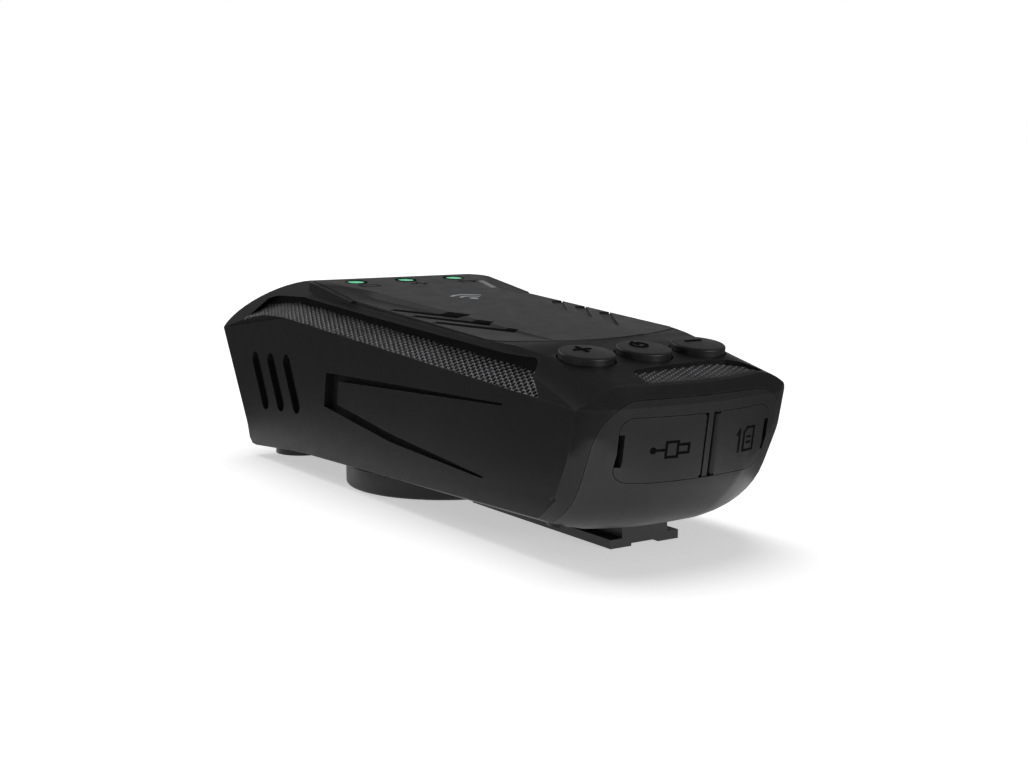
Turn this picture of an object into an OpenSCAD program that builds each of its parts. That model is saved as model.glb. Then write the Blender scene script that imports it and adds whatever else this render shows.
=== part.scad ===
// Wedge-shaped portable receiver unit with a round foot and a T-section accessory rail.
// Origin: centre of the foot's underside. +Z up, +X across the width, -Y towards the port end.

/* [Body] */
// Width across the two side walls
body_w = 56; // [55.5:0.5:57]
// Thickness of the shells
wall = 2; // [1.8:0.1:2.2]
// Height of the flat underside above the resting plane
under_z = 5.6; // [5.4:0.1:5.8]
// Radius of the curve from the underside up to the port end
under_r = 14; // [13:0.5:15]
// Plan radius of the bulged port end
end_r = 88; // [84:1:96]
// Thickness of the port end cap
cap_t = 2.4; // [2.2:0.1:2.6]

/* [Top plate] */
// Gap around the top plate
plate_gap = 0.25; // [0.2:0.05:0.4]
// Width of the top plate
plate_w = 51; // [50:0.5:51]
// Height of the raised middle of the plate at its far edge
plateau_h = 2; // [1.6:0.1:2.2]
// Width of a sloped vent in the plate
vent_w = 2.9; // [2:0.1:3.2]
// Diameter of an indicator lens
led_d = 4.2; // [3.5:0.1:4.6]
// Distance between indicators
led_pitch = 15.1; // [14:0.1:16]

/* [Buttons] */
// Diameter of a button
button_d = 12.1; // [11.5:0.1:12.4]
// Distance between buttons
button_pitch = 15.1; // [15:0.1:15.6]
// How far a button stands out of the deck
button_proud = 1.5; // [1.2:0.1:1.8]
// Travel of a button
button_travel = 0.8; // [0.5:0.1:0.8]

/* [Doors] */
// Height of the door opening
door_h = 14.1; // [13:0.1:14.5]
// Half of the door opening's width
door_half_w = 20; // [19.5:0.1:20.4]
// Thickness of a door
door_t = 1.6; // [1.4:0.1:1.7]
// Radius of a hinge pin
pin_r = 0.5; // [0.4:0.05:0.55]
// Radial clearance of a knuckle on its pin
pin_play = 0.05; // [0.03:0.01:0.08]

/* [Foot and rail] */
// Radius of the round foot
foot_r = 26.4; // [25:0.1:26.6]
// Width of the rail's flange
rail_w = 18.6; // [18.3:0.1:18.6]
// Thickness of the rail's flange
rail_t = 2; // [1.8:0.1:2]
// Width of the rail's neck
neck_w = 12.4; // [12:0.1:12.6]
// Length of the rail
rail_len = 55.6; // [50:0.1:56]

/* [Screws] */
// Diameter of a corner screw's recess
recess_d = 6.4; // [6:0.1:6.8]
// Radius of a corner screw's shank
shank_r = 1.4; // [1.2:0.1:1.5]

/* [Hidden] */
$fn = 96;

big = 300;
eps = 0.01;
half_w = body_w / 2;

// Port end: a surface of revolution about a vertical axis
end_y = -102.5;
end_axis_y = end_y + end_r;
bend_r = end_r - 16.35;
bend_z = under_z + under_r;
face_low = [bend_r + under_r * cos(9), bend_z - under_r * sin(9)];
face_high = [end_r, 33.4];
face_lean = atan((face_high.x - face_low.x) / (face_high.y - face_low.y));

// Upright corners of the port end, and the fuller curve under them about an axis of its own
upright = [17, -86];
corner_axis_y = -59.5;
corner_c = [26, 21.3];
corner_r = 16;
corner_lean = 19.6;

// Hood at the far end: a superellipse
hood_y = 27;
hood_z = 35;
hood_len = 53.7;
hood_rise = 16.7;
hood_power = 1.38;

// Line where the side wall meets the shoulder, and where the two shells part
parting = [[-96.2, 33.3], [38, 41.1], [54, 40.6], [66, 38.7], [80.7, 35]];

// Plane of the top around the plate, and the plate in it
deck_z = 47.9;
deck_tilt = 3.9;
plate_far_y = 26.8;
plate_near_y = -68;
plate_under = 1.6;
ledge_t = 1.6;
flank_z = 0.15;

// One side of the raised middle, from its near end to its far end
plateau_edge = [[12.2, -70], [17.8, 2.6], [19, 9], [21.6, 15.5], [27, 22]];
plateau_near_h = 0.2;
strip_w = 1.6;
ramp_y = [2, 22];
vent_depth = 0.6;
vent_len = 21;
lip_w = 1.7;

// Deck in front of the buttons, and the round shoulders along it
near_deck_z = 40.25;
near_slope = 13;
shoulder_c = [17.3, -14];

// Grilles: sheet thickness and back wall of the long side pockets
grille_t = 0.6;
grille_depth = 1;
pocket_x = 23.4;
grille_lean = 42;

// Seal between the end cap and the shells
gasket_t = 0.6;

// Button row
keys_y = -81.7;
keys_z = 41.35;
keys_tilt = 8.6;
flange_r = button_d / 2 + 0.9;
flange_z = -3;
flange_t = 0.85;
key_hole_r = button_d / 2 + 0.4;
plunger_r = 1.7;
plunger_play = 0.06;
switch_top = -5.2;
switch_h = 3.4;
key_board_t = 1.2;

// End cap: upper corners of its outline, and how far it reaches back under the body
cap_corner = [15.4, 25.5];
cap_corner_r = 9.3;
cap_back_y = -84;

// Doors, in a frame that leans with the port end's face
door_z = 24.3;
door_corner_r = 3.3;
door_face_y = end_axis_y - face_low.x - (door_z - face_low.y) * tan(face_lean);
door_gap = 0.15;
axis_depth = 1;
knuckle_r = 1;
usb_axis_x = 0.2;
card_axis_x = 4.3;
mullion = [1.35, 2.7];
slot_h = 7;
slot_w = 1.4;

// Indicators
led_y = 21.3;

// Corner screws: position and height of the lower boss
near_screw = [19.5, -81.5];
far_screw = [19.5, 46];
boss_r = 4.4;
boss_top_z = 21;
head_z = 9;

// Slots in the side walls
side_slot_w = 4.4;
slot_depth = 1.5;

// Boards
board_z = 21.8;
board_t = 1.6;

rail_y = -83;
groove_w = 7.4;
groove_t = 0.6;
rail_screw_y = [-72, -38];
foot_screw_r = 17;
pad_r = 24.8;
pad_t = 1;
magnet_r = 12;

function arc(c, r, from, to, steps) =
    [for (i = [0:steps]) let (a = from + (to - from) * i / steps) c + r * [cos(a), sin(a)]];

function hood_curve(t) =
    [for (i = [14:-1:0]) let (a = 90 * i / 14)
        [hood_y + (hood_len - t) * pow(sin(a), hood_power),
         hood_z + (hood_rise - t) * pow(cos(a), hood_power)]];

// Side view of the body, shrunk by t
function side_outline(t) = concat(
    [[-110, under_z + t], [27, under_z + t], [37, 5 + t], [46, 4.2 + t], [59.3 - t / 2, 3.1 + t],
     [61.8 - t, 3.3 + t], [63.6 - 1.1 * t, 4.8 + t], [65 - 1.15 * t, 8.6 + t / 2]],
    hood_curve(t),
    [[hood_y, deck_z + hood_y * tan(deck_tilt) - t],
     [plate_near_y, 43.3 - t],
     [-88, 40.25 - t],
     [-110, 35.2 - t]]
);

function mirrored(points) = concat(points, [for (i = [len(points) - 1:-1:0]) [-points[i].x, points[i].y]]);

module both() {
    children();
    mirror([1, 0, 0]) children();
}

// Extrudes an outline drawn in Y and Z along X, centred
module along_x(length) {
    rotate([90, 0, 90]) linear_extrude(length, center = true) children();
}

// Extrudes an outline drawn in X and Z along Y, from y to y + length
module along_y(y, length) {
    translate([0, y + length, 0]) rotate([90, 0, 0]) linear_extrude(length) children();
}

// A slot with round ends, from a to b
module slot_2d(a, b, width) {
    run = atan2((b - a).y, (b - a).x);
    polygon(concat(arc(a, width / 2, run + 90, run + 270, 10), arc(b, width / 2, run - 90, run + 90, 10)));
}

module round_rect(low, high, r) {
    translate([low.x + r, low.y]) square([high.x - low.x - 2 * r, high.y - low.y]);
    translate([low.x, low.y + r]) square([high.x - low.x, high.y - low.y - 2 * r]);
    for (x = [low.x + r, high.x - r])
        for (y = [low.y + r, high.y - r])
            translate([x, y]) circle(r);
}

// Everything beyond the plane through a, b and c, moved inward by t
module beyond(a, b, c, t) {
    n = cross(b - a, c - a) / norm(cross(b - a, c - a));
    translate(a - n * t) rotate([0, acos(n.z), atan2(n.y, n.x)])
        translate([-big / 2, -big / 2, 0]) cube([big, big, big / 4]);
}

module end_section(t) {
    translate([bend_r, bend_z]) circle(under_r - t);
    polygon([
        [0, under_z + t], [bend_r, under_z + t], [bend_r, bend_z],
        [face_low.x - t, face_low.y], [face_high.x - t, face_high.y],
        [face_high.x - 2.1 - t, face_high.y + 4.1], [face_high.x - 5, 45], [0, 45]
    ]);
}

module end_form(t) {
    translate([0, end_axis_y, 0]) rotate_extrude($fn = 192) end_section(t);
    translate([-big / 2, -50, -10]) cube([big, big, 100]);
}

// What the rounded lower corners of the port end leave out
module near_corners(t) {
    low = corner_c - [0, corner_r + 1];
    tangent_z = corner_c.y - (corner_r - t) * sin(corner_lean);
    tangent_r = corner_c.x + (corner_r - t) * cos(corner_lean);
    top_z = 50;
    intersection() {
        translate([0, corner_axis_y, 0]) rotate_extrude($fn = 192) polygon(concat(
            [[tangent_r + (top_z - tangent_z) * tan(corner_lean), top_z]],
            arc(corner_c, corner_r - t, -corner_lean, -90, 10),
            [low, [big / 2, low.y], [big / 2, top_z]]
        ));
        translate([-big / 2, corner_axis_y - 2.5 - big, -10]) cube([big, big, 100]);
    }
}

// What the upright corners leave out: they follow the end's own section round a tighter axis
module near_uprights(t) {
    out = upright - [0, end_axis_y];
    shift = norm(out) - 0.12;
    far_out = upright + 40 * out / norm(out);
    foot_r = half_w + 0.02 - upright.x;
    both() intersection() {
        translate([upright.x, upright.y, 0]) rotate_extrude($fn = 192) polygon([
            [face_high.x - shift - t, 60], [face_high.x - shift - t, face_high.y],
            [face_low.x - shift - t, face_low.y], [foot_r - t, 14], [foot_r - t, -10], [60, -10], [60, 60]
        ]);
        translate([0, 0, -5]) linear_extrude(60)
            polygon([upright, far_out, [80, far_out.y], [80, upright.y]]);
    }
}

// What the round shoulder along the near deck leaves out
module near_shoulder(t) {
    near_deck_frame() translate([shoulder_c.x, 0, shoulder_c.y]) along_y(-118, 75) difference() {
        square([20, 30]);
        circle(-shoulder_c.y - t);
    }
}

// Outer form of the closed body, shrunk by t
module body_form(t) {
    shoulder = [half_w, parting[0].x, parting[0].y];
    difference() {
        intersection() {
            along_x(body_w - 2 * t) polygon(side_outline(t));
            end_form(t);
        }
        both() {
            beyond(shoulder, [half_w, parting[1].x, parting[1].y], [half_w - 2.4, -5.2, 47.5], t);
            beyond([half_w, 38, 41.1], [half_w, 80.7, 35], [half_w - 3, 60, 45.5], t);
            near_shoulder(t);
            intersection() {
                beyond([half_w, -76.4, 8.9], [half_w - 8, -76.4, 5.7], [half_w, 24, 5.65], t);
                translate([0, -120, -20]) cube([big, 146, 100]);
            }
        }
        near_corners(t);
        near_uprights(t);
    }
}

// The part of space below the parting line
module below_parting() {
    along_x(big) polygon(concat([[-120, -10], [-120, 31.9]], parting, [[90, 32.4], [90, -10]]));
}

// Side view of the long grille pocket
function pocket_outline() = concat(
    [for (p = parting) if (p.x > 0 && p.x < 60) [p.x, p.y]],
    [[66, 38.7], [54, 45.3], [48, 46.4], [30, 47.2], [-5, 45.1], [-45, 43]],
    arc([-74.5, 36.4], 5.2, 80, 160, 8),
    [[-83, 34.07]]
);

module grille_pocket() {
    both() translate([(pocket_x + half_w + 4) / 2, 0, 0]) along_x(half_w + 4 - pocket_x) polygon(pocket_outline());
}

// Liner: the shells stay solid in this box behind the pocket
module pocket_liner() {
    both() translate([(pocket_x + half_w + 4) / 2 - 1.3, 0, 0]) along_x(half_w + 4 - pocket_x)
        polygon([[-86, 33.2], [38, 40.4], [68, 37.4], [68, 41], [55, 47.2], [30, 49], [-84, 42.2]]);
}

// Everything on the inner side of the grille's two planes, moved inward by t
module behind_grille(t) {
    crease = half_w - 0.05;
    inner = [crease - 10, 38, parting[1].y + 10 * tan(grille_lean)];
    difference() {
        translate([5, -140, -20]) cube([60, 260, 110]);
        beyond([crease, parting[0].x, parting[0].y], [crease, 38, parting[1].y], inner, t);
        beyond([crease, 38, parting[1].y], [crease, parting[3].x, parting[3].y], inner, t);
    }
}

module side_grille() {
    color("silver") intersection() {
        translate([(pocket_x + half_w) / 2, 0, 0]) along_x(half_w - pocket_x) polygon(pocket_outline());
        difference() {
            behind_grille(0);
            behind_grille(grille_t);
        }
    }
}

module deck_frame() {
    translate([0, 0, deck_z]) rotate([deck_tilt, 0, 0]) children();
}

module plate_outline(grow) {
    side = plate_w / 2 + grow;
    corner = 3 + grow;
    far_c = [side - corner, plate_far_y + grow - corner];
    near_r = 51.8;
    r = near_r + grow;
    near_c = [0, plate_near_y + near_r];
    half = asin((side - 1.2) / r);
    side_y = near_c.y - r * cos(half) + 1.8;
    polygon(concat(
        arc(far_c, corner, 0, 90, 6),
        arc([-far_c.x, far_c.y], corner, 90, 180, 6),
        [[-side, side_y]],
        arc(near_c, r, 270 - half, 270 + half, 12),
        [[side, side_y]]
    ));
}

// Height of the raised middle above the flank at y
function plateau_z(y) =
    plateau_h - (plateau_h - plateau_near_h) * (plate_far_y - y) / (plate_far_y - plate_near_y);

// Height of the flank at y: level, then a ramp up to the raised middle
function flank_h(y) =
    flank_z + (plateau_z(ramp_y[1]) - flank_z) * max(0, y - ramp_y[0]) / (ramp_y[1] - ramp_y[0]);

// What is cut away beside the raised middle, above the flank
module flank_cut() {
    difference() {
        translate([23, 0, 0]) along_x(30) polygon([
            [-75, flank_z], [ramp_y[0], flank_z], [ramp_y[1], flank_h(ramp_y[1])], [ramp_y[1], 6], [-75, 6]
        ]);
        for (i = [0:len(plateau_edge) - 2]) {
            a = concat(plateau_edge[i], plateau_z(plateau_edge[i].y));
            b = concat(plateau_edge[i + 1], plateau_z(plateau_edge[i + 1].y));
            foot = i == 0 ? b : a;
            beyond(a, b, [foot.x + strip_w, foot.y, flank_h(foot.y)], 0);
        }
    }
}

module vent(y) {
    translate([13.6, y, -vent_depth]) rotate([0, 0, -31]) rotate([1, 0, 0])
        translate([-vent_w / 2, 0, 0]) cube([vent_w, vent_len, 5]);
}

module led_row(z) {
    for (i = [-1:1]) translate([i * led_pitch, led_y, z]) children();
}

module top_plate() {
    color("dimgray") deck_frame() difference() {
        translate([0, 0, -plate_under]) linear_extrude(plate_under + 4) plate_outline(0);
        beyond([0, plate_far_y, plateau_z(plate_far_y)], [0, 0, plateau_z(0)], [10, 0, plateau_z(0)], 0);
        both() {
            flank_cut();
            for (y = [-33, -43.2, -53.4]) vent(y);
        }
        led_row(-3) cylinder(h = 8, d = led_d + 0.3);
    }
}

module keys_frame(i) {
    translate([i * button_pitch, keys_y, keys_z]) rotate([keys_tilt, 0, 0]) children();
}

module each_key() {
    for (i = [-1:1]) keys_frame(i) children();
}

// Leaf-shaped opening of the deck grille, in plan
module deck_leaf(grow) {
    polygon(concat(
        [[-12.2 - grow, -98.7 - grow], [-10.8 - grow, -92.2 + grow], [-9.2 - grow, -90.8 + grow]],
        [[2, -89.7 + grow], [12, -89.2 + grow], [16, -89.8 + grow], [19, -91.8 + grow]],
        [[21.2 + grow, -95.9], [20 + grow, -97.3 - grow], [10, -98.9 - grow], [0, -99.4 - grow]]
    ));
}

module near_deck_frame() {
    translate([0, -88, near_deck_z]) rotate([near_slope, 0, 0]) translate([0, 88, 0]) children();
}

module deck_grille() {
    color("silver") near_deck_frame()
        translate([0, 0, -grille_depth - grille_t]) linear_extrude(grille_t) deck_leaf(0.6);
}

module deck_grille_space() {
    near_deck_frame() {
        translate([0, 0, -grille_depth - grille_t]) linear_extrude(grille_t) deck_leaf(0.6);
        translate([0, 0, -grille_depth - 0.1]) linear_extrude(6) deck_leaf(0);
        translate([0, 0, -4]) linear_extrude(3) deck_leaf(-1.4);
    }
}

// Outline of the end cap, in X and Z
function cap_points(grow) = mirrored(concat(
    [[25.2 + grow, -5], [25.2 + grow, 10], [24.7 + grow, 18]],
    arc(cap_corner, cap_corner_r + grow, 0, 90, 10)
));

module cap_space(grow) {
    along_y(-110, 110 + cap_back_y + grow) polygon(cap_points(grow));
}

module cap_shell(t_out, t_in, grow) {
    difference() {
        intersection() {
            body_form(t_out);
            cap_space(grow);
        }
        body_form(t_in);
    }
}

// Frame of the doors: x across, z up the leaning face, y into the body
module door_frame() {
    translate([0, door_face_y, door_z]) rotate([face_lean, 0, 0]) children();
}

module door_opening(grow) {
    half = [door_half_w + grow, door_h / 2 + grow];
    door_frame() along_y(-6, 12) round_rect(-half, half, door_corner_r + grow);
}

module hinge_axis(x) {
    door_frame() translate([x, axis_depth, 0]) children();
}

module door_pin(x) {
    color("silver") hinge_axis(x) cylinder(h = door_h + 2.4, r = pin_r, center = true, $fn = 32);
}

module door(from_x, to_x, axis_x, slot_x) {
    difference() {
        union() {
            intersection() {
                difference() {
                    body_form(0);
                    body_form(door_t);
                }
                door_opening(-door_gap);
                translate([from_x, -110, 0]) cube([to_x - from_x, 30, 60]);
            }
            hinge_axis(axis_x)
                cylinder(h = door_h - 2 * door_gap - 1, r = knuckle_r, center = true, $fn = 48);
        }
        hinge_axis(axis_x) cylinder(h = door_h + 2, r = pin_r + pin_play, center = true, $fn = 48);
        door_frame() translate([slot_x - slot_w / 2, -6, -slot_h / 2]) cube([slot_w, 12, slot_h]);
    }
}

module usb_door() {
    color("#2a2a2c") door(-door_half_w, usb_axis_x, usb_axis_x, slot_w / 2 - door_half_w);
}

module card_door() {
    color("#2a2a2c") door(card_axis_x, door_half_w, card_axis_x, door_half_w - slot_w / 2);
}

module usb_door_pin() {
    door_pin(usb_axis_x);
}

module card_door_pin() {
    door_pin(card_axis_x);
}

module end_cap() {
    color("#303032") {
        difference() {
            cap_shell(0, cap_t, 0);
            door_opening(0);
            for (x = [usb_axis_x, card_axis_x])
                hinge_axis(x) cylinder(h = door_h + 2.4, r = pin_r, center = true, $fn = 32);
            both() screw_recess(near_screw);
        }
        intersection() {
            cap_shell(0.3, cap_t, 0);
            door_frame() translate([mullion[0], -2, -door_h / 2 - 0.4])
                cube([mullion[1] - mullion[0], 8, door_h + 0.8]);
        }
    }
}

module gasket_ring() {
    difference() {
        cap_shell(cap_t, cap_t + gasket_t, -1.2);
        along_y(-110, 108.4 + cap_back_y) polygon(cap_points(-2.4));
    }
}

module end_gasket() {
    color("black") gasket_ring();
}

// The space that the end cap and its gasket take out of the shells
module cap_seat() {
    cap_shell(-1, cap_t, 0.12);
    gasket_ring();
    bay_window(-15.6, -0.9);
    bay_window(4.9, 15.6);
}

module bay_window(from_x, to_x) {
    door_frame() translate([from_x, 0, -5.8]) cube([to_x - from_x, 16, 11.6]);
}

module cavity() {
    difference() {
        intersection() {
            body_form(wall);
            translate([-big / 2, -93.5, 0]) cube([big, big, 100]);
        }
        pocket_liner();
    }
}

module screw_recess(at) {
    translate([at.x, at.y, -1]) cylinder(h = head_z + 1, d = recess_d);
}

module screw_bores(at) {
    screw_recess(at);
    translate([at.x, at.y, 0]) cylinder(h = boss_top_z + 6, r = shank_r, $fn = 48);
}

// Rows of slots and the long open groove on a side wall
module side_relief() {
    for (i = [0:2])
        translate([half_w, 0, 0]) along_x(2 * slot_depth)
            slot_2d([58.2 - 10.2 * i, 27.9 + 0.55 * i], [52.2 - 10 * i, 16.4 + 0.7 * i], side_slot_w);
    intersection() {
        translate([half_w, 0, 0]) along_x(4) polygon([
            [13.8, 28.9], [-69.4, 31.4], [-69.4, 30.9], [6.8, 27.3],
            [7.7, 21.3], [-20, 17.8], [-61.5, 14.3], [-61.5, 13.8], [-20, 15.7], [15.4, 19.9]
        ]);
        translate([half_w - 1.6, 14, 0]) rotate([0, 0, 0.6]) translate([0, -100, 0]) cube([5, 102, 50]);
    }
}

module corner_boss() {
    translate([far_screw.x, far_screw.y, 2.5]) cylinder(h = 5, r = 7.6);
}

module lower_housing() {
    color("#1d1d1f") difference() {
        union() {
            intersection() {
                difference() {
                    body_form(0);
                    cavity();
                }
                below_parting();
            }
            both() {
                corner_boss();
                for (at = [near_screw, far_screw])
                    translate([at.x, at.y, under_z + 1]) cylinder(h = boss_top_z - under_z - 1, r = boss_r);
            }
            for (x = [-1, 1])
                for (y = [-55, 30])
                    translate([x * 18, y, under_z + 1]) cylinder(h = board_z - under_z - 1, r = 2.6);
        }
        cap_seat();
        both() {
            side_relief();
            for (at = [near_screw, far_screw]) screw_bores(at);
            for (y = [-55, 30]) translate([18, y, 12]) cylinder(h = 20, r = 1, $fn = 32);
        }
        for (y = rail_screw_y) translate([0, y, 4]) cylinder(h = 2.6, r = 1.2, $fn = 32);
        foot_screw_places() cylinder(h = 7, r = 1.2, $fn = 32);
    }
}

module foot_screw_places() {
    for (a = [90:120:330]) rotate([0, 0, a]) translate([foot_screw_r, 0, 0]) children();
}

module top_cover() {
    color("#1b1b1d") difference() {
        union() {
            difference() {
                body_form(0);
                below_parting();
                cavity();
            }
            intersection() {
                body_form(0.5);
                deck_frame() translate([0, 0, -plate_under - ledge_t])
                    linear_extrude(ledge_t + 0.5) plate_outline(1);
            }
            both() {
                translate([far_screw.x, far_screw.y, boss_top_z]) cylinder(h = 23, r = 3);
                translate([near_screw.x, near_screw.y, boss_top_z]) cylinder(h = 9, r = 2.9);
                near_rib();
            }
            plate_lip();
        }
        deck_frame() {
            translate([0, 0, -plate_under]) linear_extrude(8) plate_outline(plate_gap);
            translate([0, 0, -12]) linear_extrude(13) plate_outline(-2.4);
        }
        grille_pocket();
        deck_grille_space();
        each_key() {
            translate([0, 0, -6]) cylinder(h = 9, r = key_hole_r);
            translate([0, 0, flange_z - 2]) cylinder(h = flange_t + 2.1, r = flange_r + 0.3);
        }
        cap_seat();
        both() for (at = [near_screw, far_screw]) screw_bores(at);
    }
}

// Raised lip of the cover round the far end of the plate
module plate_lip() {
    deck_frame() intersection() {
        translate([0, 0, -0.6]) linear_extrude(5) difference() {
            plate_outline(lip_w);
            plate_outline(plate_gap);
        }
        along_x(big) polygon([
            [ramp_y[0], -1], [ramp_y[0], flank_z - 0.1], [ramp_y[1], flank_h(ramp_y[1]) - 0.1],
            [30, flank_h(ramp_y[1]) - 0.1], [30, -1]
        ]);
    }
}

// Rib that ties a near screw boss to the cover's shoulder
module near_rib() {
    low_x = near_screw.x - 0.4;
    translate([low_x, near_screw.y - 2, boss_top_z + 5]) cube([22 - low_x, 4, 9]);
    translate([low_x, near_screw.y - 2, 34.6]) cube([26.6 - low_x, 4, 1.4]);
}

module button() {
    color("#202022") rotate_extrude() {
        translate([0, -0.2]) square([button_d / 2 - 0.5, button_proud + 0.2]);
        square([button_d / 2, button_proud - 0.5]);
        translate([button_d / 2 - 0.5, button_proud - 0.5]) circle(0.5, $fn = 32);
        translate([0, flange_z + flange_t]) square([button_d / 2, 2.3]);
        translate([0, flange_z]) square([flange_r, flange_t]);
        translate([0, switch_top + 1.1]) square([2, 1.4]);
    }
}

module plunger() {
    color("goldenrod") translate([0, 0, switch_top - 1]) cylinder(h = 2.1, r = plunger_r);
}

module button_left() {
    keys_frame(-1) button();
}

module button_middle() {
    keys_frame(0) button();
}

module button_right() {
    keys_frame(1) button();
}

module plunger_left() {
    keys_frame(-1) plunger();
}

module plunger_middle() {
    keys_frame(0) plunger();
}

module plunger_right() {
    keys_frame(1) plunger();
}

module key_switches() {
    color("silver") each_key() difference() {
        translate([-3, -3, switch_top - switch_h]) cube([6, 6, switch_h]);
        translate([0, 0, switch_top - 2]) cylinder(h = 3, r = plunger_r + plunger_play);
    }
}

module key_board() {
    color("darkgreen") keys_frame(0) translate([-19, -6, switch_top - switch_h - key_board_t])
        cube([38, 14, key_board_t]);
}

module led_lenses() {
    color("lime") deck_frame() led_row(-2) cylinder(h = 2 + plateau_h - 0.1, d = led_d);
}

module led_chips() {
    color("white") deck_frame() led_row(-3.2) translate([-1.2, -1.2, 0]) cube([2.4, 2.4, 1]);
}

module led_board() {
    color("darkgreen") deck_frame() translate([-21, led_y - 6, -4.4]) cube([42, 11, 1.2]);
}

module main_board() {
    color("darkgreen") translate([0, 0, board_z]) difference() {
        linear_extrude(board_t) polygon(mirrored([[14, -91.5], [14, -75], [22, -73], [22, 38], [14, 40], [14, 60]]));
        both() for (y = [-55, 30]) translate([18, y, -1]) cylinder(h = 4, r = 1.2, $fn = 32);
    }
}

module usb_socket() {
    low = [-4.5, 0];
    high = [4.5, 3.2];
    color("silver") translate([-8.2, 0, board_z + board_t]) difference() {
        along_y(-92.6, 8) round_rect(low, high, 1.5);
        along_y(-93.1, 7.5) round_rect(low + [0.3, 0.3], high - [0.3, 0.3], 1.2);
    }
    color("black") translate([-8.2 - 3.2, -91.1, board_z + board_t + 1.2]) cube([6.4, 5.6, 0.8]);
}

module card_socket() {
    color("silver") translate([4, -90.8, board_z + board_t]) difference() {
        cube([12.4, 14, 1.9]);
        translate([0.8, -1, 0.5]) cube([11.2, 14.5, 0.9]);
    }
}

module memory_card() {
    color("black") translate([4.9, -92.4, board_z + board_t + 0.6]) cube([11, 15, 0.7]);
}

module radio_module() {
    color("silver") translate([-11, -58, board_z + board_t]) cube([22, 26, 2.6]);
}

module antennas() {
    color("orange") both() translate([20.5, 50, 24]) cube([0.6, 16, 10]);
}

module battery() {
    color("steelblue") translate([-17, -47, under_z + wall + 0.4]) cube([34, 70, 9]);
}

module speakers() {
    color("black") both() translate([14.5, -48, 26]) {
        cube([6.5, 42, 11]);
        translate([-2, 15, 2]) cube([2.1, 12, 7]);
    }
}

module microphone() {
    color("gray") translate([4, -90, 30.5]) cylinder(h = 4, r = 3);
}

// Pan-head screws: a head, a shank and a cross recess
module screw(head_r, head_h, r, length) {
    difference() {
        union() {
            cylinder(h = head_h, r = head_r, $fn = 48);
            cylinder(h = head_h + length, r = r, $fn = 32);
        }
        for (a = [0, 90]) rotate([0, 0, a]) translate([-head_r * 0.6, -0.35, -eps]) cube([head_r * 1.2, 0.7, 1]);
    }
}

module housing_screws() {
    color("#333333") both() for (at = [near_screw, far_screw])
        translate([at.x, at.y, head_z - 2]) screw(2.8, 2, shank_r, boss_top_z + 5 - head_z);
}

module board_screws() {
    color("silver") both() for (y = [-55, 30])
        translate([18, y, board_z + board_t + 1.4]) mirror([0, 0, 1]) screw(2, 1.4, 1, 7.6);
}

module shoe_rail() {
    color("#26262a") difference() {
        translate([0, rail_y, 0]) union() {
            translate([-rail_w / 2, 0, 0]) cube([rail_w, rail_len, rail_t]);
            translate([-neck_w / 2, 0, 0]) cube([neck_w, rail_len, under_z]);
        }
        translate([-groove_w / 2, rail_y - 1, -1]) cube([groove_w, rail_len + 2, groove_t + 1]);
        for (y = rail_screw_y) translate([0, y, 0]) {
            cylinder(h = 20, r = 1.2, $fn = 32);
            cylinder(h = 2.4, r = 2.6, $fn = 48);
        }
    }
}

module rail_screws() {
    color("silver") for (y = rail_screw_y) translate([0, y, 1]) screw(2.5, 1.4, 1.2, 4.2);
}

module foot_cup() {
    edge = 0.8;
    color("#232326") difference() {
        rotate_extrude($fn = 192) {
            translate([0, edge]) square([foot_r, under_z - edge]);
            square([foot_r - edge, under_z]);
            translate([foot_r - edge, edge]) circle(edge, $fn = 48);
        }
        translate([0, 0, -eps]) cylinder(h = pad_t + eps, r = pad_r + 0.06);
        cylinder(h = pad_t + 2.4, r = magnet_r + 0.06);
        foot_screw_places() {
            cylinder(h = 20, r = 1.2, $fn = 32);
            cylinder(h = pad_t + 1.5, r = 2.6, $fn = 48);
        }
    }
}

module foot_magnet() {
    color("silver") translate([0, 0, pad_t]) difference() {
        cylinder(h = 2.4, r = magnet_r);
        translate([0, 0, -1]) cylinder(h = 5, r = 2.5);
    }
}

module foot_pad() {
    color("#111111") cylinder(h = pad_t, r = pad_r);
}

module foot_screws() {
    color("silver") foot_screw_places() translate([0, 0, pad_t + 0.1]) screw(2.5, 1.4, 1.2, 4.2);
}

module side_grille_left() {
    mirror([1, 0, 0]) side_grille();
}

module side_grille_right() {
    side_grille();
}

lower_housing();
top_cover();
top_plate();
end_cap();
end_gasket();
side_grille_left();
side_grille_right();
deck_grille();
usb_door();
card_door();
usb_door_pin();
card_door_pin();
button_left();
button_middle();
button_right();
plunger_left();
plunger_middle();
plunger_right();
key_switches();
key_board();
led_lenses();
led_chips();
led_board();
main_board();
usb_socket();
card_socket();
memory_card();
radio_module();
antennas();
battery();
speakers();
microphone();
housing_screws();
board_screws();
shoe_rail();
rail_screws();
foot_cup();
foot_magnet();
foot_pad();
foot_screws();
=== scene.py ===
import math

import bmesh
import bpy
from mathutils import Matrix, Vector
from mathutils.bvhtree import BVHTree
from mathutils.geometry import delaunay_2d_cdt


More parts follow.
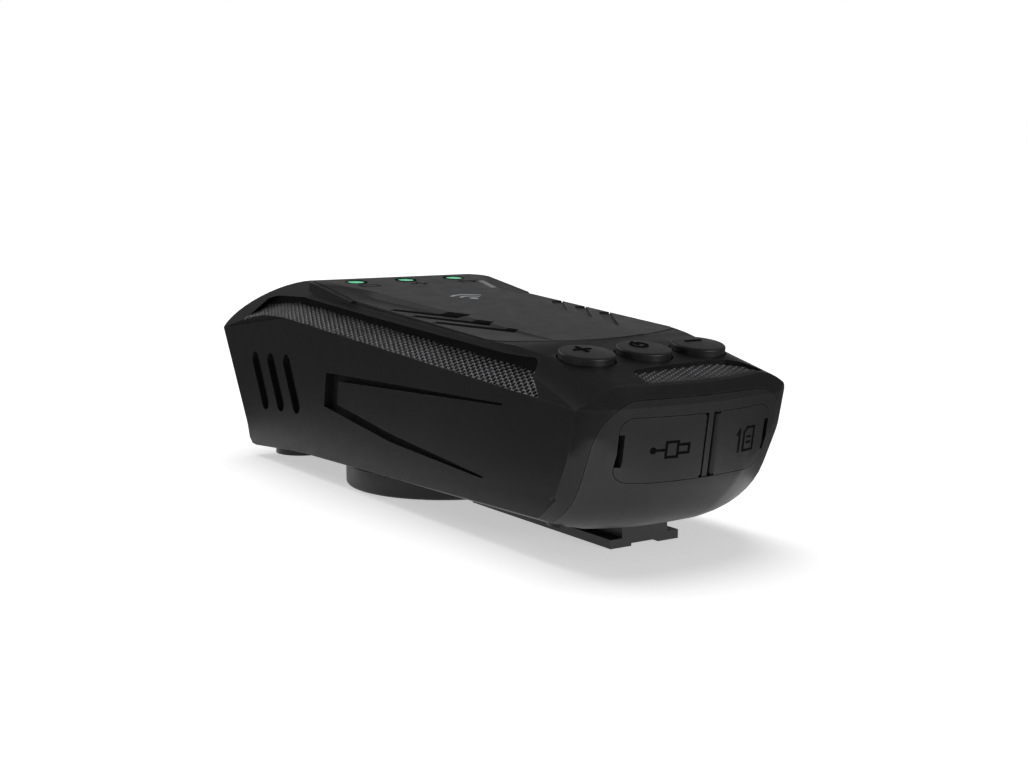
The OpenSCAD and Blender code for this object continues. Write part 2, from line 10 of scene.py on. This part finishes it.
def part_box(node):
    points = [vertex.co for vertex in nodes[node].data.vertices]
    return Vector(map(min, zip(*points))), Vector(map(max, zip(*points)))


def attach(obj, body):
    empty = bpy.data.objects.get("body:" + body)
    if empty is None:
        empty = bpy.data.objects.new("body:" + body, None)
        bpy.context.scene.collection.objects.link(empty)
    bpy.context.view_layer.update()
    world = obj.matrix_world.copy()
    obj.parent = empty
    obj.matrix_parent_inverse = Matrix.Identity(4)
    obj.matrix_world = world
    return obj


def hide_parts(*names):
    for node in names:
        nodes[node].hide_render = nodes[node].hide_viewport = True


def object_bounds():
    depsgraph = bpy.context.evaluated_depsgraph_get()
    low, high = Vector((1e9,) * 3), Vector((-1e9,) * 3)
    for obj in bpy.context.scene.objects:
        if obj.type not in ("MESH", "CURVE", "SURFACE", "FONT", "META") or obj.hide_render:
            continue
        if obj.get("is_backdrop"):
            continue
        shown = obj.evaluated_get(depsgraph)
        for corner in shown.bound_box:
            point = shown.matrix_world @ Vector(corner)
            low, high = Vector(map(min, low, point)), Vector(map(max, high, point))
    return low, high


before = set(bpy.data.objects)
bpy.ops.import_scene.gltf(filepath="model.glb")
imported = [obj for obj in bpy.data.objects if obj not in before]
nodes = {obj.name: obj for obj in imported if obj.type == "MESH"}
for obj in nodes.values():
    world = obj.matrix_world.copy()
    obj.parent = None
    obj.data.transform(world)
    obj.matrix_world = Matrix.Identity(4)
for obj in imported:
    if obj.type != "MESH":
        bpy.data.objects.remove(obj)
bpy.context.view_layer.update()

MM = 0.001
X_AXIS, Y_AXIS = Vector((1, 0, 0)), Vector((0, 1, 0))

# Slopes of the CAD faces that carry grilles and marks
GRILLE_LEAN = math.radians(48)
NEAR_DECK_SLOPE = math.radians(13)
PORT_FACE_LEAN = math.radians(8.964)
KEY_TILT = math.radians(8.6)
DECK_TILT = math.radians(3.9)

# Vertices of a CAD node closer than this, in metres, count as one
SAME_POINT = 0.000002


# ---------------------------------------------------------------- materials
class Nodes:
    """Short hand for the node tree of one material."""

    def __init__(self, name):
        self.material = bpy.data.materials.new(name)
        self.material.use_nodes = True
        self.tree = self.material.node_tree
        self.shader = self.tree.nodes["Principled BSDF"]
        self.where = self.add("ShaderNodeTexCoord").outputs["Object"]

    def add(self, kind, **values):
        node = self.tree.nodes.new(kind)
        for key, value in values.items():
            if hasattr(node, key):
                setattr(node, key, value)
            else:
                node.inputs[key.replace("_", " ")].default_value = value
        return node

    def link(self, a, b):
        self.tree.links.new(a, b)

    def noise(self, scale, detail=3.0, rough=0.55, stretch=None):
        node = self.add("ShaderNodeTexNoise", Scale=scale, Detail=detail, Roughness=rough)
        if stretch is None:
            self.link(self.where, node.inputs["Vector"])
        else:
            squeeze = self.add("ShaderNodeMapping")
            squeeze.inputs["Scale"].default_value = stretch
            self.link(self.where, squeeze.inputs["Vector"])
            self.link(squeeze.outputs["Vector"], node.inputs["Vector"])
        return node.outputs["Fac"]

    def spread(self, value, low, high, out_low, out_high):
        node = self.add("ShaderNodeMapRange")
        limits = {"From Min": low, "From Max": high, "To Min": out_low, "To Max": out_high}
        for key, number in limits.items():
            node.inputs[key].default_value = number
        self.link(value, node.inputs["Value"])
        return node.outputs["Result"]

    def blend(self, factor, a, b):
        node = self.add("ShaderNodeMix", data_type="RGBA")
        self.link(factor, node.inputs[0])
        for socket, colour in ((node.inputs[6], a), (node.inputs[7], b)):
            if isinstance(colour, tuple):
                socket.default_value = (*colour, 1)
            else:
                self.link(colour, socket)
        return node.outputs[2]

    def edges(self, radius):
        """Near 1 on corners and edges of the shape, 0 on its flats."""
        rounded = self.add("ShaderNodeBevel", samples=4, Radius=radius)
        plain = self.add("ShaderNodeNewGeometry")
        dot = self.add("ShaderNodeVectorMath", operation="DOT_PRODUCT")
        self.link(rounded.outputs["Normal"], dot.inputs[0])
        self.link(plain.outputs["Normal"], dot.inputs[1])
        return self.spread(dot.outputs["Value"], 0.995, 0.90, 0.0, 1.0)

    def bump(self, *heights):
        normal = None
        for height, distance, strength in heights:
            node = self.add("ShaderNodeBump", Distance=distance, Strength=strength)
            self.link(height, node.inputs["Height"])
            if normal is not None:
                self.link(normal, node.inputs["Normal"])
            normal = node.outputs["Normal"]
        self.link(normal, self.shader.inputs["Normal"])


def moulded(name, dark, light, rough, grain=0.00002, grain_size=2600, edge_wear_and_highlight=0.5, specular=0.5):
    """Fine spark-eroded plastic: grain, slow changes of gloss, and edges made brighter, partly as rubbing
    wear and partly as a painted highlight.
    """
    n = Nodes(name)
    fine = n.noise(grain_size, 4, 0.6)
    slow = n.noise(45, 3, 0.5)
    handled = n.noise(240, 4, 0.6)
    edge = n.edges(0.0005)
    body = n.blend(n.spread(slow, 0.3, 0.7, 0, 1), dark, light)
    # Edges brightened: rubbing wear plus a painted highlight along the edges
    lighter = tuple(min(1, c * 1.9 + 0.006) for c in light)
    part = n.add("ShaderNodeMath", operation="MULTIPLY")
    n.link(edge, part.inputs[0])
    n.link(n.spread(handled, 0.35, 0.65, edge_wear_and_highlight * 0.35, edge_wear_and_highlight), part.inputs[1])
    n.link(n.blend(part.outputs[0], body, lighter), n.shader.inputs["Base Color"])
    gloss = n.add("ShaderNodeMath", operation="SUBTRACT")
    n.link(n.spread(handled, 0.3, 0.7, rough - 0.035, rough + 0.035), gloss.inputs[0])
    n.link(n.spread(part.outputs[0], 0, 1, 0, 0.10), gloss.inputs[1])
    n.link(gloss.outputs[0], n.shader.inputs["Roughness"])
    n.shader.inputs["Specular IOR Level"].default_value = specular
    n.bump((fine, grain, 0.55), (slow, 0.00003, 0.25))
    return n.material


def brushed(name, colour, rough, metallic=1.0, stretch=(400, 60, 400), wear=0.25):
    """Drawn, turned or painted metal: fine streaks and a soft patina."""
    n = Nodes(name)
    streak = n.noise(12, 4, 0.65, stretch)
    patina = n.noise(190, 4, 0.55)
    dull = tuple(c * (1 - wear) for c in colour)
    n.link(n.blend(n.spread(patina, 0.35, 0.7, 0, 1), colour, dull), n.shader.inputs["Base Color"])
    n.link(n.spread(streak, 0.3, 0.7, rough - 0.06, rough + 0.1), n.shader.inputs["Roughness"])
    n.shader.inputs["Metallic"].default_value = metallic
    n.bump((streak, 0.00001, 0.4), (patina, 0.00002, 0.2))
    return n.material


def rubber(name, colour, rough=0.62, grain=0.00003, sheen=0.15):
    """Rubber or cloth: a fine grain, and dust that shows a little paler."""
    n = Nodes(name)
    fine = n.noise(1900, 5, 0.65)
    dust = n.noise(120, 5, 0.6)
    pale = tuple(c * 1.7 + 0.004 for c in colour)
    n.link(n.blend(n.spread(dust, 0.45, 0.8, 0, 1), colour, pale), n.shader.inputs["Base Color"])
    n.link(n.spread(dust, 0.3, 0.7, rough - 0.06, rough + 0.06), n.shader.inputs["Roughness"])
    n.shader.inputs["Sheen Weight"].default_value = sheen
    n.shader.inputs["Sheen Roughness"].default_value = 0.5
    n.bump((fine, grain, 0.6), (dust, 0.00003, 0.2))
    return n.material


def board_material(name):
    """Solder-masked board: weave under the mask, copper tracks shimmering through."""
    n = Nodes(name)
    cells = n.add("ShaderNodeTexVoronoi", Scale=420.0, feature="DISTANCE_TO_EDGE", distance="CHEBYCHEV")
    n.link(n.where, cells.inputs["Vector"])
    tracks = n.spread(cells.outputs["Distance"], 0.08, 0.11, 0, 1)
    weave = n.noise(1500, 2, 0.5, (1, 2.4, 1))
    mask = n.blend(weave, (0.004, 0.030, 0.014), (0.006, 0.048, 0.020))
    n.link(n.blend(tracks, (0.012, 0.085, 0.035), mask), n.shader.inputs["Base Color"])
    n.link(n.spread(weave, 0.3, 0.7, 0.25, 0.38), n.shader.inputs["Roughness"])
    n.bump((tracks, 0.00003, 0.5), (weave, 0.00001, 0.3))
    return n.material


def film_material(name, a, b, rough):
    """Printed film or label wrap: faint creases and a mottled print."""
    n = Nodes(name)
    crease = n.noise(90, 6, 0.7, (1, 0.25, 1))
    print_dots = n.noise(900, 2, 0.5)
    n.link(n.blend(n.spread(crease, 0.4, 0.62, 0, 1), a, b), n.shader.inputs["Base Color"])
    n.link(n.spread(print_dots, 0.3, 0.7, rough - 0.05, rough + 0.08), n.shader.inputs["Roughness"])
    n.bump((crease, 0.0001, 0.35), (print_dots, 0.00001, 0.3))
    return n.material


def glow_material(name):
    """Lit lens: cloudy green, frosted, under a thin clear coat."""
    n = Nodes(name)
    cloud = n.noise(700, 3, 0.5)
    green = n.blend(n.spread(cloud, 0.3, 0.7, 0, 1), (0.01, 0.42, 0.16), (0.04, 0.60, 0.26))
    n.link(green, n.shader.inputs["Base Color"])
    n.link(green, n.shader.inputs["Emission Color"])
    n.shader.inputs["Emission Strength"].default_value = 0.55
    n.link(n.spread(cloud, 0.3, 0.7, 0.22, 0.34), n.shader.inputs["Roughness"])
    n.shader.inputs["Coat Weight"].default_value = 0.4
    n.bump((cloud, 0.00002, 0.3))
    return n.material


LOOKS = {
    "housing_plastic": moulded("housing_plastic", (0.0065, 0.0065, 0.0069), (0.0088, 0.0088, 0.0093), 0.42,
                               edge_wear_and_highlight=0.9, specular=0.36),
    "plate_plastic": moulded("plate_plastic", (0.019, 0.0192, 0.0200), (0.024, 0.0242, 0.0252), 0.42,
                             specular=0.5),
    "cap_plastic": moulded("cap_plastic", (0.0105, 0.0105, 0.0112), (0.0140, 0.0140, 0.0148), 0.42,
                           edge_wear_and_highlight=0.8, specular=0.48),
    "rail_plastic": moulded("rail_plastic", (0.010, 0.010, 0.011), (0.014, 0.014, 0.015), 0.42, edge_wear_and_highlight=0.8),
    "foot_plastic": moulded("foot_plastic", (0.009, 0.009, 0.0095), (0.012, 0.012, 0.0125), 0.48),
    "driver_plastic": moulded("driver_plastic", (0.010, 0.010, 0.010), (0.016, 0.016, 0.016), 0.5),
    "chip_body": moulded("chip_body", (0.62, 0.60, 0.52), (0.72, 0.70, 0.60), 0.4, grain_size=1500),
    "card_plastic": moulded("card_plastic", (0.012, 0.012, 0.013), (0.018, 0.018, 0.019), 0.38),
    "button_rubber": rubber("button_rubber", (0.0110, 0.0110, 0.0116), 0.40, sheen=0.02),
    "pad_rubber": rubber("pad_rubber", (0.012, 0.012, 0.012), 0.72),
    "seal_rubber": rubber("seal_rubber", (0.010, 0.010, 0.010), 0.68),
    "grille_metal": brushed("grille_metal", (0.22, 0.22, 0.225), 0.38, 0.85, (300, 300, 300)),
    "steel": brushed("steel", (0.56, 0.56, 0.57), 0.30),
    "brass": brushed("brass", (0.72, 0.52, 0.23), 0.32),
    "black_screw": brushed("black_screw", (0.045, 0.045, 0.048), 0.34, 0.85),
    "circuit_board": board_material("circuit_board"),
    "flex_film": film_material("flex_film", (0.42, 0.17, 0.03), (0.55, 0.26, 0.06), 0.35),
    "battery_wrap": film_material("battery_wrap", (0.05, 0.09, 0.15), (0.07, 0.12, 0.19), 0.42),
    "led_glow": glow_material("led_glow"),
}
MARK = moulded("mark_print", (0.32, 0.33, 0.34), (0.40, 0.41, 0.42), 0.5, edge_wear_and_highlight=0.1)
DARK_MARK = moulded("dark_mark", (0.0012, 0.0012, 0.0013), (0.0018, 0.0018, 0.0019), 0.8,
                    edge_wear_and_highlight=0.1, specular=0.08)
GREY_MARK = moulded("grey_mark", (0.20, 0.20, 0.205), (0.24, 0.24, 0.245), 0.5, edge_wear_and_highlight=0.1)
CLOTH = rubber("dust_cloth", (0.0025, 0.0025, 0.0027), 0.85, 0.00006, 0.0)
# Darker plastic laid on faces deep in recesses: painted shade
RECESS_SHADE = moulded("recess_painted_shade", (0.0030, 0.0030, 0.0032), (0.0042, 0.0042, 0.0045), 0.6,
                 edge_wear_and_highlight=0.1, specular=0.25)


# ---------------------------------------------------------------- CAD nodes
def soften(obj, width):
    """Rounds the hard edges of a CAD node by modifiers, leaving its own vertices alone."""
    mesh = obj.data
    if "custom_normal" in mesh.attributes:
        mesh.attributes.remove(mesh.attributes["custom_normal"])
    mesh.polygons.foreach_set("use_smooth", [True] * len(mesh.polygons))
    if "sharp_edge" in mesh.attributes:
        mesh.attributes.remove(mesh.attributes["sharp_edge"])
    weld = obj.modifiers.new("join", "WELD")
    weld.merge_threshold = SAME_POINT
    flat = obj.modifiers.new("flats", "DECIMATE")
    flat.decimate_type = "DISSOLVE"
    flat.angle_limit = math.radians(0.25)
    bevel = obj.modifiers.new("rounding", "BEVEL")
    bevel.width = width
    bevel.segments = 3
    bevel.limit_method = "ANGLE"
    bevel.angle_limit = math.radians(24)
    bevel.use_clamp_overlap = True
    bevel.harden_normals = True
    bevel.miter_outer = "MITER_ARC"


# Edge radius of each node in millimetres; the rest get SMALL_ROUNDING
SMALL_ROUNDING = 0.06
ROUNDING = {
    "lower_housing": 0.35, "top_cover": 0.35, "top_plate": 0.16, "end_cap": 0.12,
    "usb_door": 0.14, "card_door": 0.14, "shoe_rail": 0.2, "foot_cup": 0.15, "foot_pad": 0.15,
    "battery": 1.2, "speakers": 0.6, "memory_card": 0.15, "main_board": 0.1,
}
for name, obj in nodes.items():
    slot_name = obj.data.materials[0].name.split(".")[0]
    obj.data.materials[0] = LOOKS[slot_name]
    soften(obj, ROUNDING.get(name, SMALL_ROUNDING) * MM)


def paint_recess_shade(node, wanted):
    """Gives the faces of a CAD node that lie deep in a recess a darker material, as painted shade.
    wanted is told the centre of each face, in millimetres, and its normal."""
    mesh = nodes[node].data
    mesh.materials.append(RECESS_SHADE)
    for face in mesh.polygons:
        if wanted(face.center / MM, face.normal):
            face.material_index = 1


def slot_floor(c, n):
    """Floors of the slots and of the long groove in the side walls, which get painted shade."""
    return abs(n.x) > 0.9 and 24 < abs(c.x) < 27.85 and c.z > 8


def pocket_wall(c, n):
    """Back and upper walls of the long pockets behind the side grilles, which get painted shade."""
    in_pocket = 23.2 < abs(c.x) < 28 and -84 < c.y < 67 and 33 < c.z < 48
    back = n.x * c.x > 20 and abs(c.x) < 23.6
    return in_pocket and (back or n.z < -0.2)


# Painted shade on the slot floors and on the walls of the grille pockets
paint_recess_shade("lower_housing", slot_floor)
paint_recess_shade("top_cover", pocket_wall)


# ---------------------------------------------------------------- pieces on the CAD surfaces
def tree_of(obj):
    return BVHTree.FromPolygons([v.co for v in obj.data.vertices], [p.vertices for p in obj.data.polygons])


class Face:
    """A drawing plane laid on a CAD node: u and v in metres along it, height along its normal."""

    ABOVE, REACH = 0.02, 0.06

    def __init__(self, node, centre, across, normal):
        self.tree = tree_of(nodes[node])
        self.node = node
        self.normal = normal.normalized()
        self.u = (across - self.normal * across.dot(self.normal)).normalized()
        self.v = self.normal.cross(self.u)
        self.centre = centre

    def flat(self, point):
        return Vector(((point - self.centre).dot(self.u), (point - self.centre).dot(self.v)))

    def at(self, u, v, height):
        """The point above (u, v), height over the surface of the node."""
        start = self.centre + self.u * u + self.v * v + self.normal * self.ABOVE
        hit = self.tree.ray_cast(start, -self.normal, self.REACH)[0]
        if hit is None:
            near = self.tree.find_nearest(start - self.normal * self.ABOVE)[0]
            hit = start + self.normal * (near - start).dot(self.normal)
        return hit + self.normal * height


def outline_of(face):
    """The rim of the node's face that looks along the normal, as points in the drawing plane."""
    bm = bmesh.new()
    bm.from_mesh(nodes[face.node].data)
    bmesh.ops.remove_doubles(bm, verts=bm.verts, dist=SAME_POINT)
    bm.normal_update()
    top = {f for f in bm.faces if f.normal.dot(face.normal) > 0.9}
    rim = {}
    for f in top:
        for loop in f.loops:
            if sum(g in top for g in loop.edge.link_faces) == 1:
                rim[loop.vert.index] = (loop.link_loop_next.vert.index, loop.vert.co.copy())
    start = max(rim, key=lambda i: rim[i][1].y)
    points, i = [], start
    while not points or i != start:
        following, co = rim[i]
        points.append(face.flat(co))
        i = following
    bm.free()
    return points


def inside(point, polygon):
    """Whether a point of the drawing plane lies in a closed outline."""
    hit = False
    for a, b in zip(polygon, polygon[1:] + polygon[:1]):
        if (a.y > point.y) != (b.y > point.y):
            if point.x < (b.x - a.x) * (point.y - a.y) / (b.y - a.y) + a.x:
                hit = not hit
    return hit


def pressed(name, face, shapes, keep, layers, shrink=None, body="housing", material=None, smooth=35):
    """A closed thin piece on a CAD face. Shapes are closed outlines; keep says which overlaps stay.
    Layers run from front to back as (height, how far along each point's shrink vector)."""
    corners, loops = [], []
    for shape in shapes:
        loops.append(list(range(len(corners), len(corners) + len(shape))))
        corners += shape
    scaled = [Vector((c.x * 1000, c.y * 1000)) for c in corners]
    co, _, tris, origins, _, owners = delaunay_2d_cdt(scaled, [], loops, 1, 1e-5)
    tris = [t for t, own in zip(tris, owners) if keep(own)]
    flat = [c * MM for c in co]
    pull = [Vector((0, 0))] * len(flat)
    if shrink:
        pull = [shrink.get(o[0], Vector((0, 0))) if o else Vector((0, 0)) for o in origins]
    used = sorted({i for t in tris for i in t})
    index = {i: k for k, i in enumerate(used)}
    verts, faces = [], []
    for height, amount in layers:
        verts += [face.at(*(flat[i] + pull[i] * amount), height) for i in used]
    count, last = len(used), (len(layers) - 1) * len(used)
    edges = {}
    for t in tris:
        a = [index[i] for i in t]
        faces.append(a)
        faces.append([i + last for i in reversed(a)])
        for p, q in zip(a, a[1:] + a[:1]):
            edges[(p, q)] = True
    for p, q in edges:
        if (q, p) not in edges:
            for k in range(len(layers) - 1):
                faces.append([q + k * count, p + k * count, p + (k + 1) * count, q + (k + 1) * count])
    mesh = bpy.data.meshes.new(name)
    mesh.from_pydata(verts, [], faces)
    mesh.validate()
    mesh.polygons.foreach_set("use_smooth", [True] * len(mesh.polygons))
    mesh.set_sharp_from_angle(angle=math.radians(smooth))
    mesh.materials.append(material)
    obj = bpy.data.objects.new(name, mesh)
    bpy.context.scene.collection.objects.link(obj)
    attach(obj, body)
    return obj


def grille(node, across, normal, pitch=1.38, hole=0.46, lip=0.59):
    """Perforated sheet with a staggered pattern of flared holes, and the dust cloth behind it.
    Pitch and the radii of hole and lip are in millimetres."""
    low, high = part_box(node)
    face = Face(node, (low + high) / 2, across, normal)
    rim = outline_of(face)
    shapes, shrink = [rim], {}
    reach = max(p.length for p in rim)
    p = pitch * MM
    row_pitch = p * 0.8660254  # rows of a triangular pattern
    corners = 10
    ring = [Vector((math.cos(a), math.sin(a))) for a in (math.tau * k / corners for k in range(corners))]
    steps = int(reach / row_pitch) + 2
    for i in range(-steps, steps + 1):
        for j in range(-steps, steps + 1):
            middle = Vector((i * row_pitch, (j + 0.5 * (i % 2)) * p))
            if abs(middle.x) > reach or abs(middle.y) > reach:
                continue
            if not any(inside(middle + r * lip * MM, rim) for r in ring):
                continue
            first = sum(len(s) for s in shapes)
            shapes.append([middle + r * lip * MM for r in ring])
            shrink.update({first + k: -r * (lip - hole) * MM for k, r in enumerate(ring)})
    sheet_layers = [(0, 0), (-0.13 * MM, 1), (-0.36 * MM, 1)]
    sheet = pressed(node + "_mesh", face, shapes, lambda own: own == [0], sheet_layers, shrink,
                    material=LOOKS["grille_metal"], smooth=58)
    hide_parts(node)
    cloth_layers = [(-0.42 * MM, 0), (-0.66 * MM, 0)]
    pressed(node + "_cloth", face, [rim], lambda own: True, cloth_layers, material=CLOTH)


for name, side in (("side_grille_left", -1), ("side_grille_right", 1)):
    grille(name, Y_AXIS, Vector((side * math.cos(GRILLE_LEAN), 0, math.sin(GRILLE_LEAN))))
grille("deck_grille", X_AXIS, Vector((0, -math.sin(NEAR_DECK_SLOPE), math.cos(NEAR_DECK_SLOPE))))


# Strokes of the symbols, in millimetres
def line(a, b, width):
    a, b = Vector(a), Vector(b)
    along = (b - a).normalized() * (width / 2)
    out = Vector((-along.y, along.x))
    return [p * MM for p in (a - along + out, a - along - out, b + along - out, b + along + out)]


def path(points, width, closed=False):
    pairs = list(zip(points, points[1:]))
    if closed:
        pairs.append((points[-1], points[0]))
    return [line(a, b, width) for a, b in pairs]


def disc(centre, r, sides=20):
    return [[(Vector(centre) + Vector((math.cos(a), math.sin(a))) * r) * MM
             for a in (math.tau * k / sides for k in range(sides))]]


def sweep(centre, r, start, end, width, steps=10):
    """An arc from start to end, in degrees."""
    points = []
    for k in range(steps + 1):
        a = math.radians(start + (end - start) * k / steps)
        points.append((centre[0] + r * math.cos(a), centre[1] + r * math.sin(a)))
    return path(points, width)


def symbol(name, face, strokes, body, material, height=0.12, depth=0.10):
    return pressed(name, face, strokes, lambda own: len(own) > 0,
                   [(height * MM, 0), (-depth * MM, 0)], body=body, material=material)


# Port doors: a plug outline and a blank card with a push arrow
door_normal = Vector((0, -math.cos(PORT_FACE_LEAN), -math.sin(PORT_FACE_LEAN)))
card_outline = [(-1.3, -2.5), (1.7, -2.5), (1.7, 2.5), (-0.4, 2.5), (-1.3, 1.6)]
for node, body, shift, strokes in (
    ("usb_door", "usb_flap", 1.95, path([(-4.6, 0), (-1.5, 0)], 0.55)
     + path([(-1.5, -1.6), (1.3, -1.6), (1.3, 1.6), (-1.5, 1.6)], 0.55, True)
     + path([(1.3, -0.9), (4.1, -0.9), (4.1, 0.9), (1.3, 0.9)], 0.55)
     + disc((-4.6, 0), 0.75)),
    ("card_door", "card_flap", 2.05, path(card_outline, 0.5, True)
     + path([(-2.7, -2.5), (-2.7, 2.2)], 0.5) + path([(-3.4, 1.2), (-2.7, 2.3)], 0.45)
     + path([(-0.2, 0.4), (0.7, 0.4)], 0.45) + path([(-0.2, -0.8), (0.7, -0.8)], 0.45)),
):
    low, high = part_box(node)
    centre = (low + high) / 2 + X_AXIS * shift * MM
    symbol(node + "_symbol", Face(node, centre, X_AXIS, door_normal), strokes, body, DARK_MARK, height=0.06)

# Buttons: plus, power and minus
key_normal = Vector((0, -math.sin(KEY_TILT), math.cos(KEY_TILT)))
for node, body, strokes in (
    ("button_left", "key_left", path([(-1.9, 1.6), (1.9, 1.6)], 0.7) + path([(0, 3.4), (0, -0.2)], 0.7)),
    ("button_middle", "key_middle", sweep((0, 1.6), 1.8, 120, 420, 0.6, 14)
     + path([(0, 2.0), (0, 4.0)], 0.6)),
    ("button_right", "key_right", path([(-1.9, 1.6), (1.9, 1.6)], 0.7)),
):
    low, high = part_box(node)
    face = Face(node, (low + high) / 2, X_AXIS, key_normal)
    symbol(node + "_symbol", face, strokes, body, DARK_MARK, height=0.16)

# Indicators: a bezel round each lens, and a small symbol nearer the buttons
deck_normal = Vector((0, -math.sin(DECK_TILT), math.cos(DECK_TILT)))
low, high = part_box("led_lenses")
row = (low + high) / 2
pitch = (high.x - low.x - (high.y - low.y)) / 2
for i, (label, strokes) in enumerate((
    ("link", path([(-2.4, -1.4), (2.4, -1.4), (2.4, 1.4), (-2.4, 1.4)], 0.5, True)),
    ("signal", path([(-2.4, 0), (-0.9, 0), (0, 1.7), (0.9, -1.7), (1.5, 0), (2.4, 0)], 0.5)),
    ("charge", path([(-2.2, -1.3), (1.7, -1.3), (1.7, 1.3), (-2.2, 1.3)], 0.5, True)
     + path([(2.5, -0.6), (2.5, 0.6)], 0.5)),
)):
    centre = row + X_AXIS * (i - 1) * pitch
    face = Face("top_plate", centre + X_AXIS * 0.6 * MM - Y_AXIS * 6.5 * MM, X_AXIS, deck_normal)
    symbol("mark_" + label, face, strokes, "housing", DARK_MARK, height=0.03, depth=0.05)
    rings = disc((0, 0), 2.95, 40) + disc((0, 0), 2.3, 40)
    pressed("bezel_" + label, Face("top_plate", centre, X_AXIS, deck_normal), rings,
            lambda own: own == [0], [(0.10 * MM, 0), (-0.05 * MM, 0)], material=DARK_MARK)

# Plate: a source of sound with two waves, and a slanted bar
face = Face("top_plate", row + X_AXIS * 1.5 * MM - Y_AXIS * 29.5 * MM, X_AXIS, deck_normal)
source = (0, -3)
waves = sweep(source, 3.3, 40, 140, 0.9, 14) + sweep(source, 5.8, 45, 135, 0.9, 14)
symbol("mark_sound", face, disc(source, 1.2) + waves, "housing", MARK, height=0.03, depth=0.05)
face = Face("top_plate", row + X_AXIS * 18.2 * MM - Y_AXIS * 12.5 * MM, X_AXIS, deck_normal)
bar = [Vector(p) * MM for p in ((-2.6, -6), (-0.8, -6), (2.5, 6), (0.7, 6))]
symbol("mark_bar", face, [bar], "housing", GREY_MARK, height=0.03, depth=0.05)


# ---------------------------------------------------------------- studio
def stage_material(name, colour, rough, glow):
    n = Nodes(name)
    soft = n.noise(6, 2, 0.5)
    n.link(n.blend(soft, colour, tuple(c * 0.985 for c in colour)), n.shader.inputs["Base Color"])
    n.shader.inputs["Roughness"].default_value = rough
    n.shader.inputs["Specular IOR Level"].default_value = 0.1
    n.shader.inputs["Emission Color"].default_value = (1, 1, 1, 1)
    n.shader.inputs["Emission Strength"].default_value = glow
    return n.material


floor_look = stage_material("floor", (0.9, 0.9, 0.9), 0.9, 0.5)
# The floor close to the object is the only part of it that shows in reflections
near_x, near_low, near_high = 0.05, -0.13, 0.10
far = 30


def floor_piece(name, corners, faces, glossy):
    mesh = bpy.data.meshes.new(name)
    mesh.from_pydata([(x, y, 0) for x, y in corners], [], faces)
    mesh.materials.append(floor_look)
    obj = bpy.data.objects.new(name, mesh)
    obj.visible_glossy = glossy
    bpy.context.scene.collection.objects.link(obj)
    obj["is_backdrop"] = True


patch = [(-near_x, near_low), (near_x, near_low), (near_x, near_high), (-near_x, near_high)]
floor_piece("floor_near", patch, [(0, 1, 2, 3)], True)
floor_piece("floor", [(-far, -far), (far, -far), (far, far), (-far, far)] + patch,
            [(0, 1, 5, 4), (1, 2, 6, 5), (2, 3, 7, 6), (3, 0, 4, 7)], False)


def lamp(name, kind, where, target, power, size=None, size_y=None):
    """A light, turned to its target, that the camera does not see."""
    data = bpy.data.lights.new(name, kind)
    data.energy = power
    if kind == "AREA":
        data.shape = "RECTANGLE"
        data.size = size
        data.size_y = size_y
    obj = bpy.data.objects.new(name, data)
    obj.location = where
    obj.rotation_euler = (Vector(target) - Vector(where)).to_track_quat("-Z", "Y").to_euler()
    obj.visible_camera = False
    bpy.context.scene.collection.objects.link(obj)
    return obj


sun = lamp("sun", "SUN", (0.2, 0.45, 1.0), (0, 0, 0), 1.9)
sun.data.angle = math.radians(50)
sun.visible_glossy = False
lamp("back_panel", "AREA", (0.5, 0.95, 0.21), (0, 0, 0.04), 0.42, 1.4, 0.24)
lamp("back_high", "AREA", (-0.4, 0.95, 0.62), (0, 0, 0.04), 1.5, 0.7, 0.3)
lamp("front_low", "AREA", (0.25, -0.95, 0.14), (0, -0.08, 0.02), 2.6, 0.6, 0.22)
lamp("left_low", "AREA", (-0.9, -0.35, 0.10), (0, -0.05, 0.02), 0.12, 0.7, 0.15)

# White behind the object for the camera, a dim grey for every other ray
world = bpy.data.worlds.new("studio")
world.use_nodes = True
bpy.context.scene.world = world
tree = world.node_tree
background = tree.nodes["Background"]
background.inputs["Strength"].default_value = 1.0
rays = tree.nodes.new("ShaderNodeLightPath")
mix = tree.nodes.new("ShaderNodeMix")
mix.data_type = "RGBA"
mix.inputs[6].default_value = (0.12, 0.12, 0.124, 1)
mix.inputs[7].default_value = (1, 1, 1, 1)
tree.links.new(rays.outputs["Is Camera Ray"], mix.inputs[0])
tree.links.new(mix.outputs[2], background.inputs["Color"])

# The viewpoint of the photograph
camera_data = bpy.data.cameras.new("camera")
camera_data.sensor_fit = "HORIZONTAL"
camera_data.sensor_width = 36
camera_data.lens = 52.0
camera_data.clip_start = 0.01
camera = bpy.data.objects.new("camera", camera_data)
camera.location = (-0.1975, -0.3292, 0.0788)
camera.rotation_euler = Vector((0.5477, 0.8251, -0.1381)).to_track_quat("-Z", "Y").to_euler()
bpy.context.scene.collection.objects.link(camera)
bpy.context.scene.camera = camera
bpy.context.scene.view_settings.view_transform = "Standard"

low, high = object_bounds()
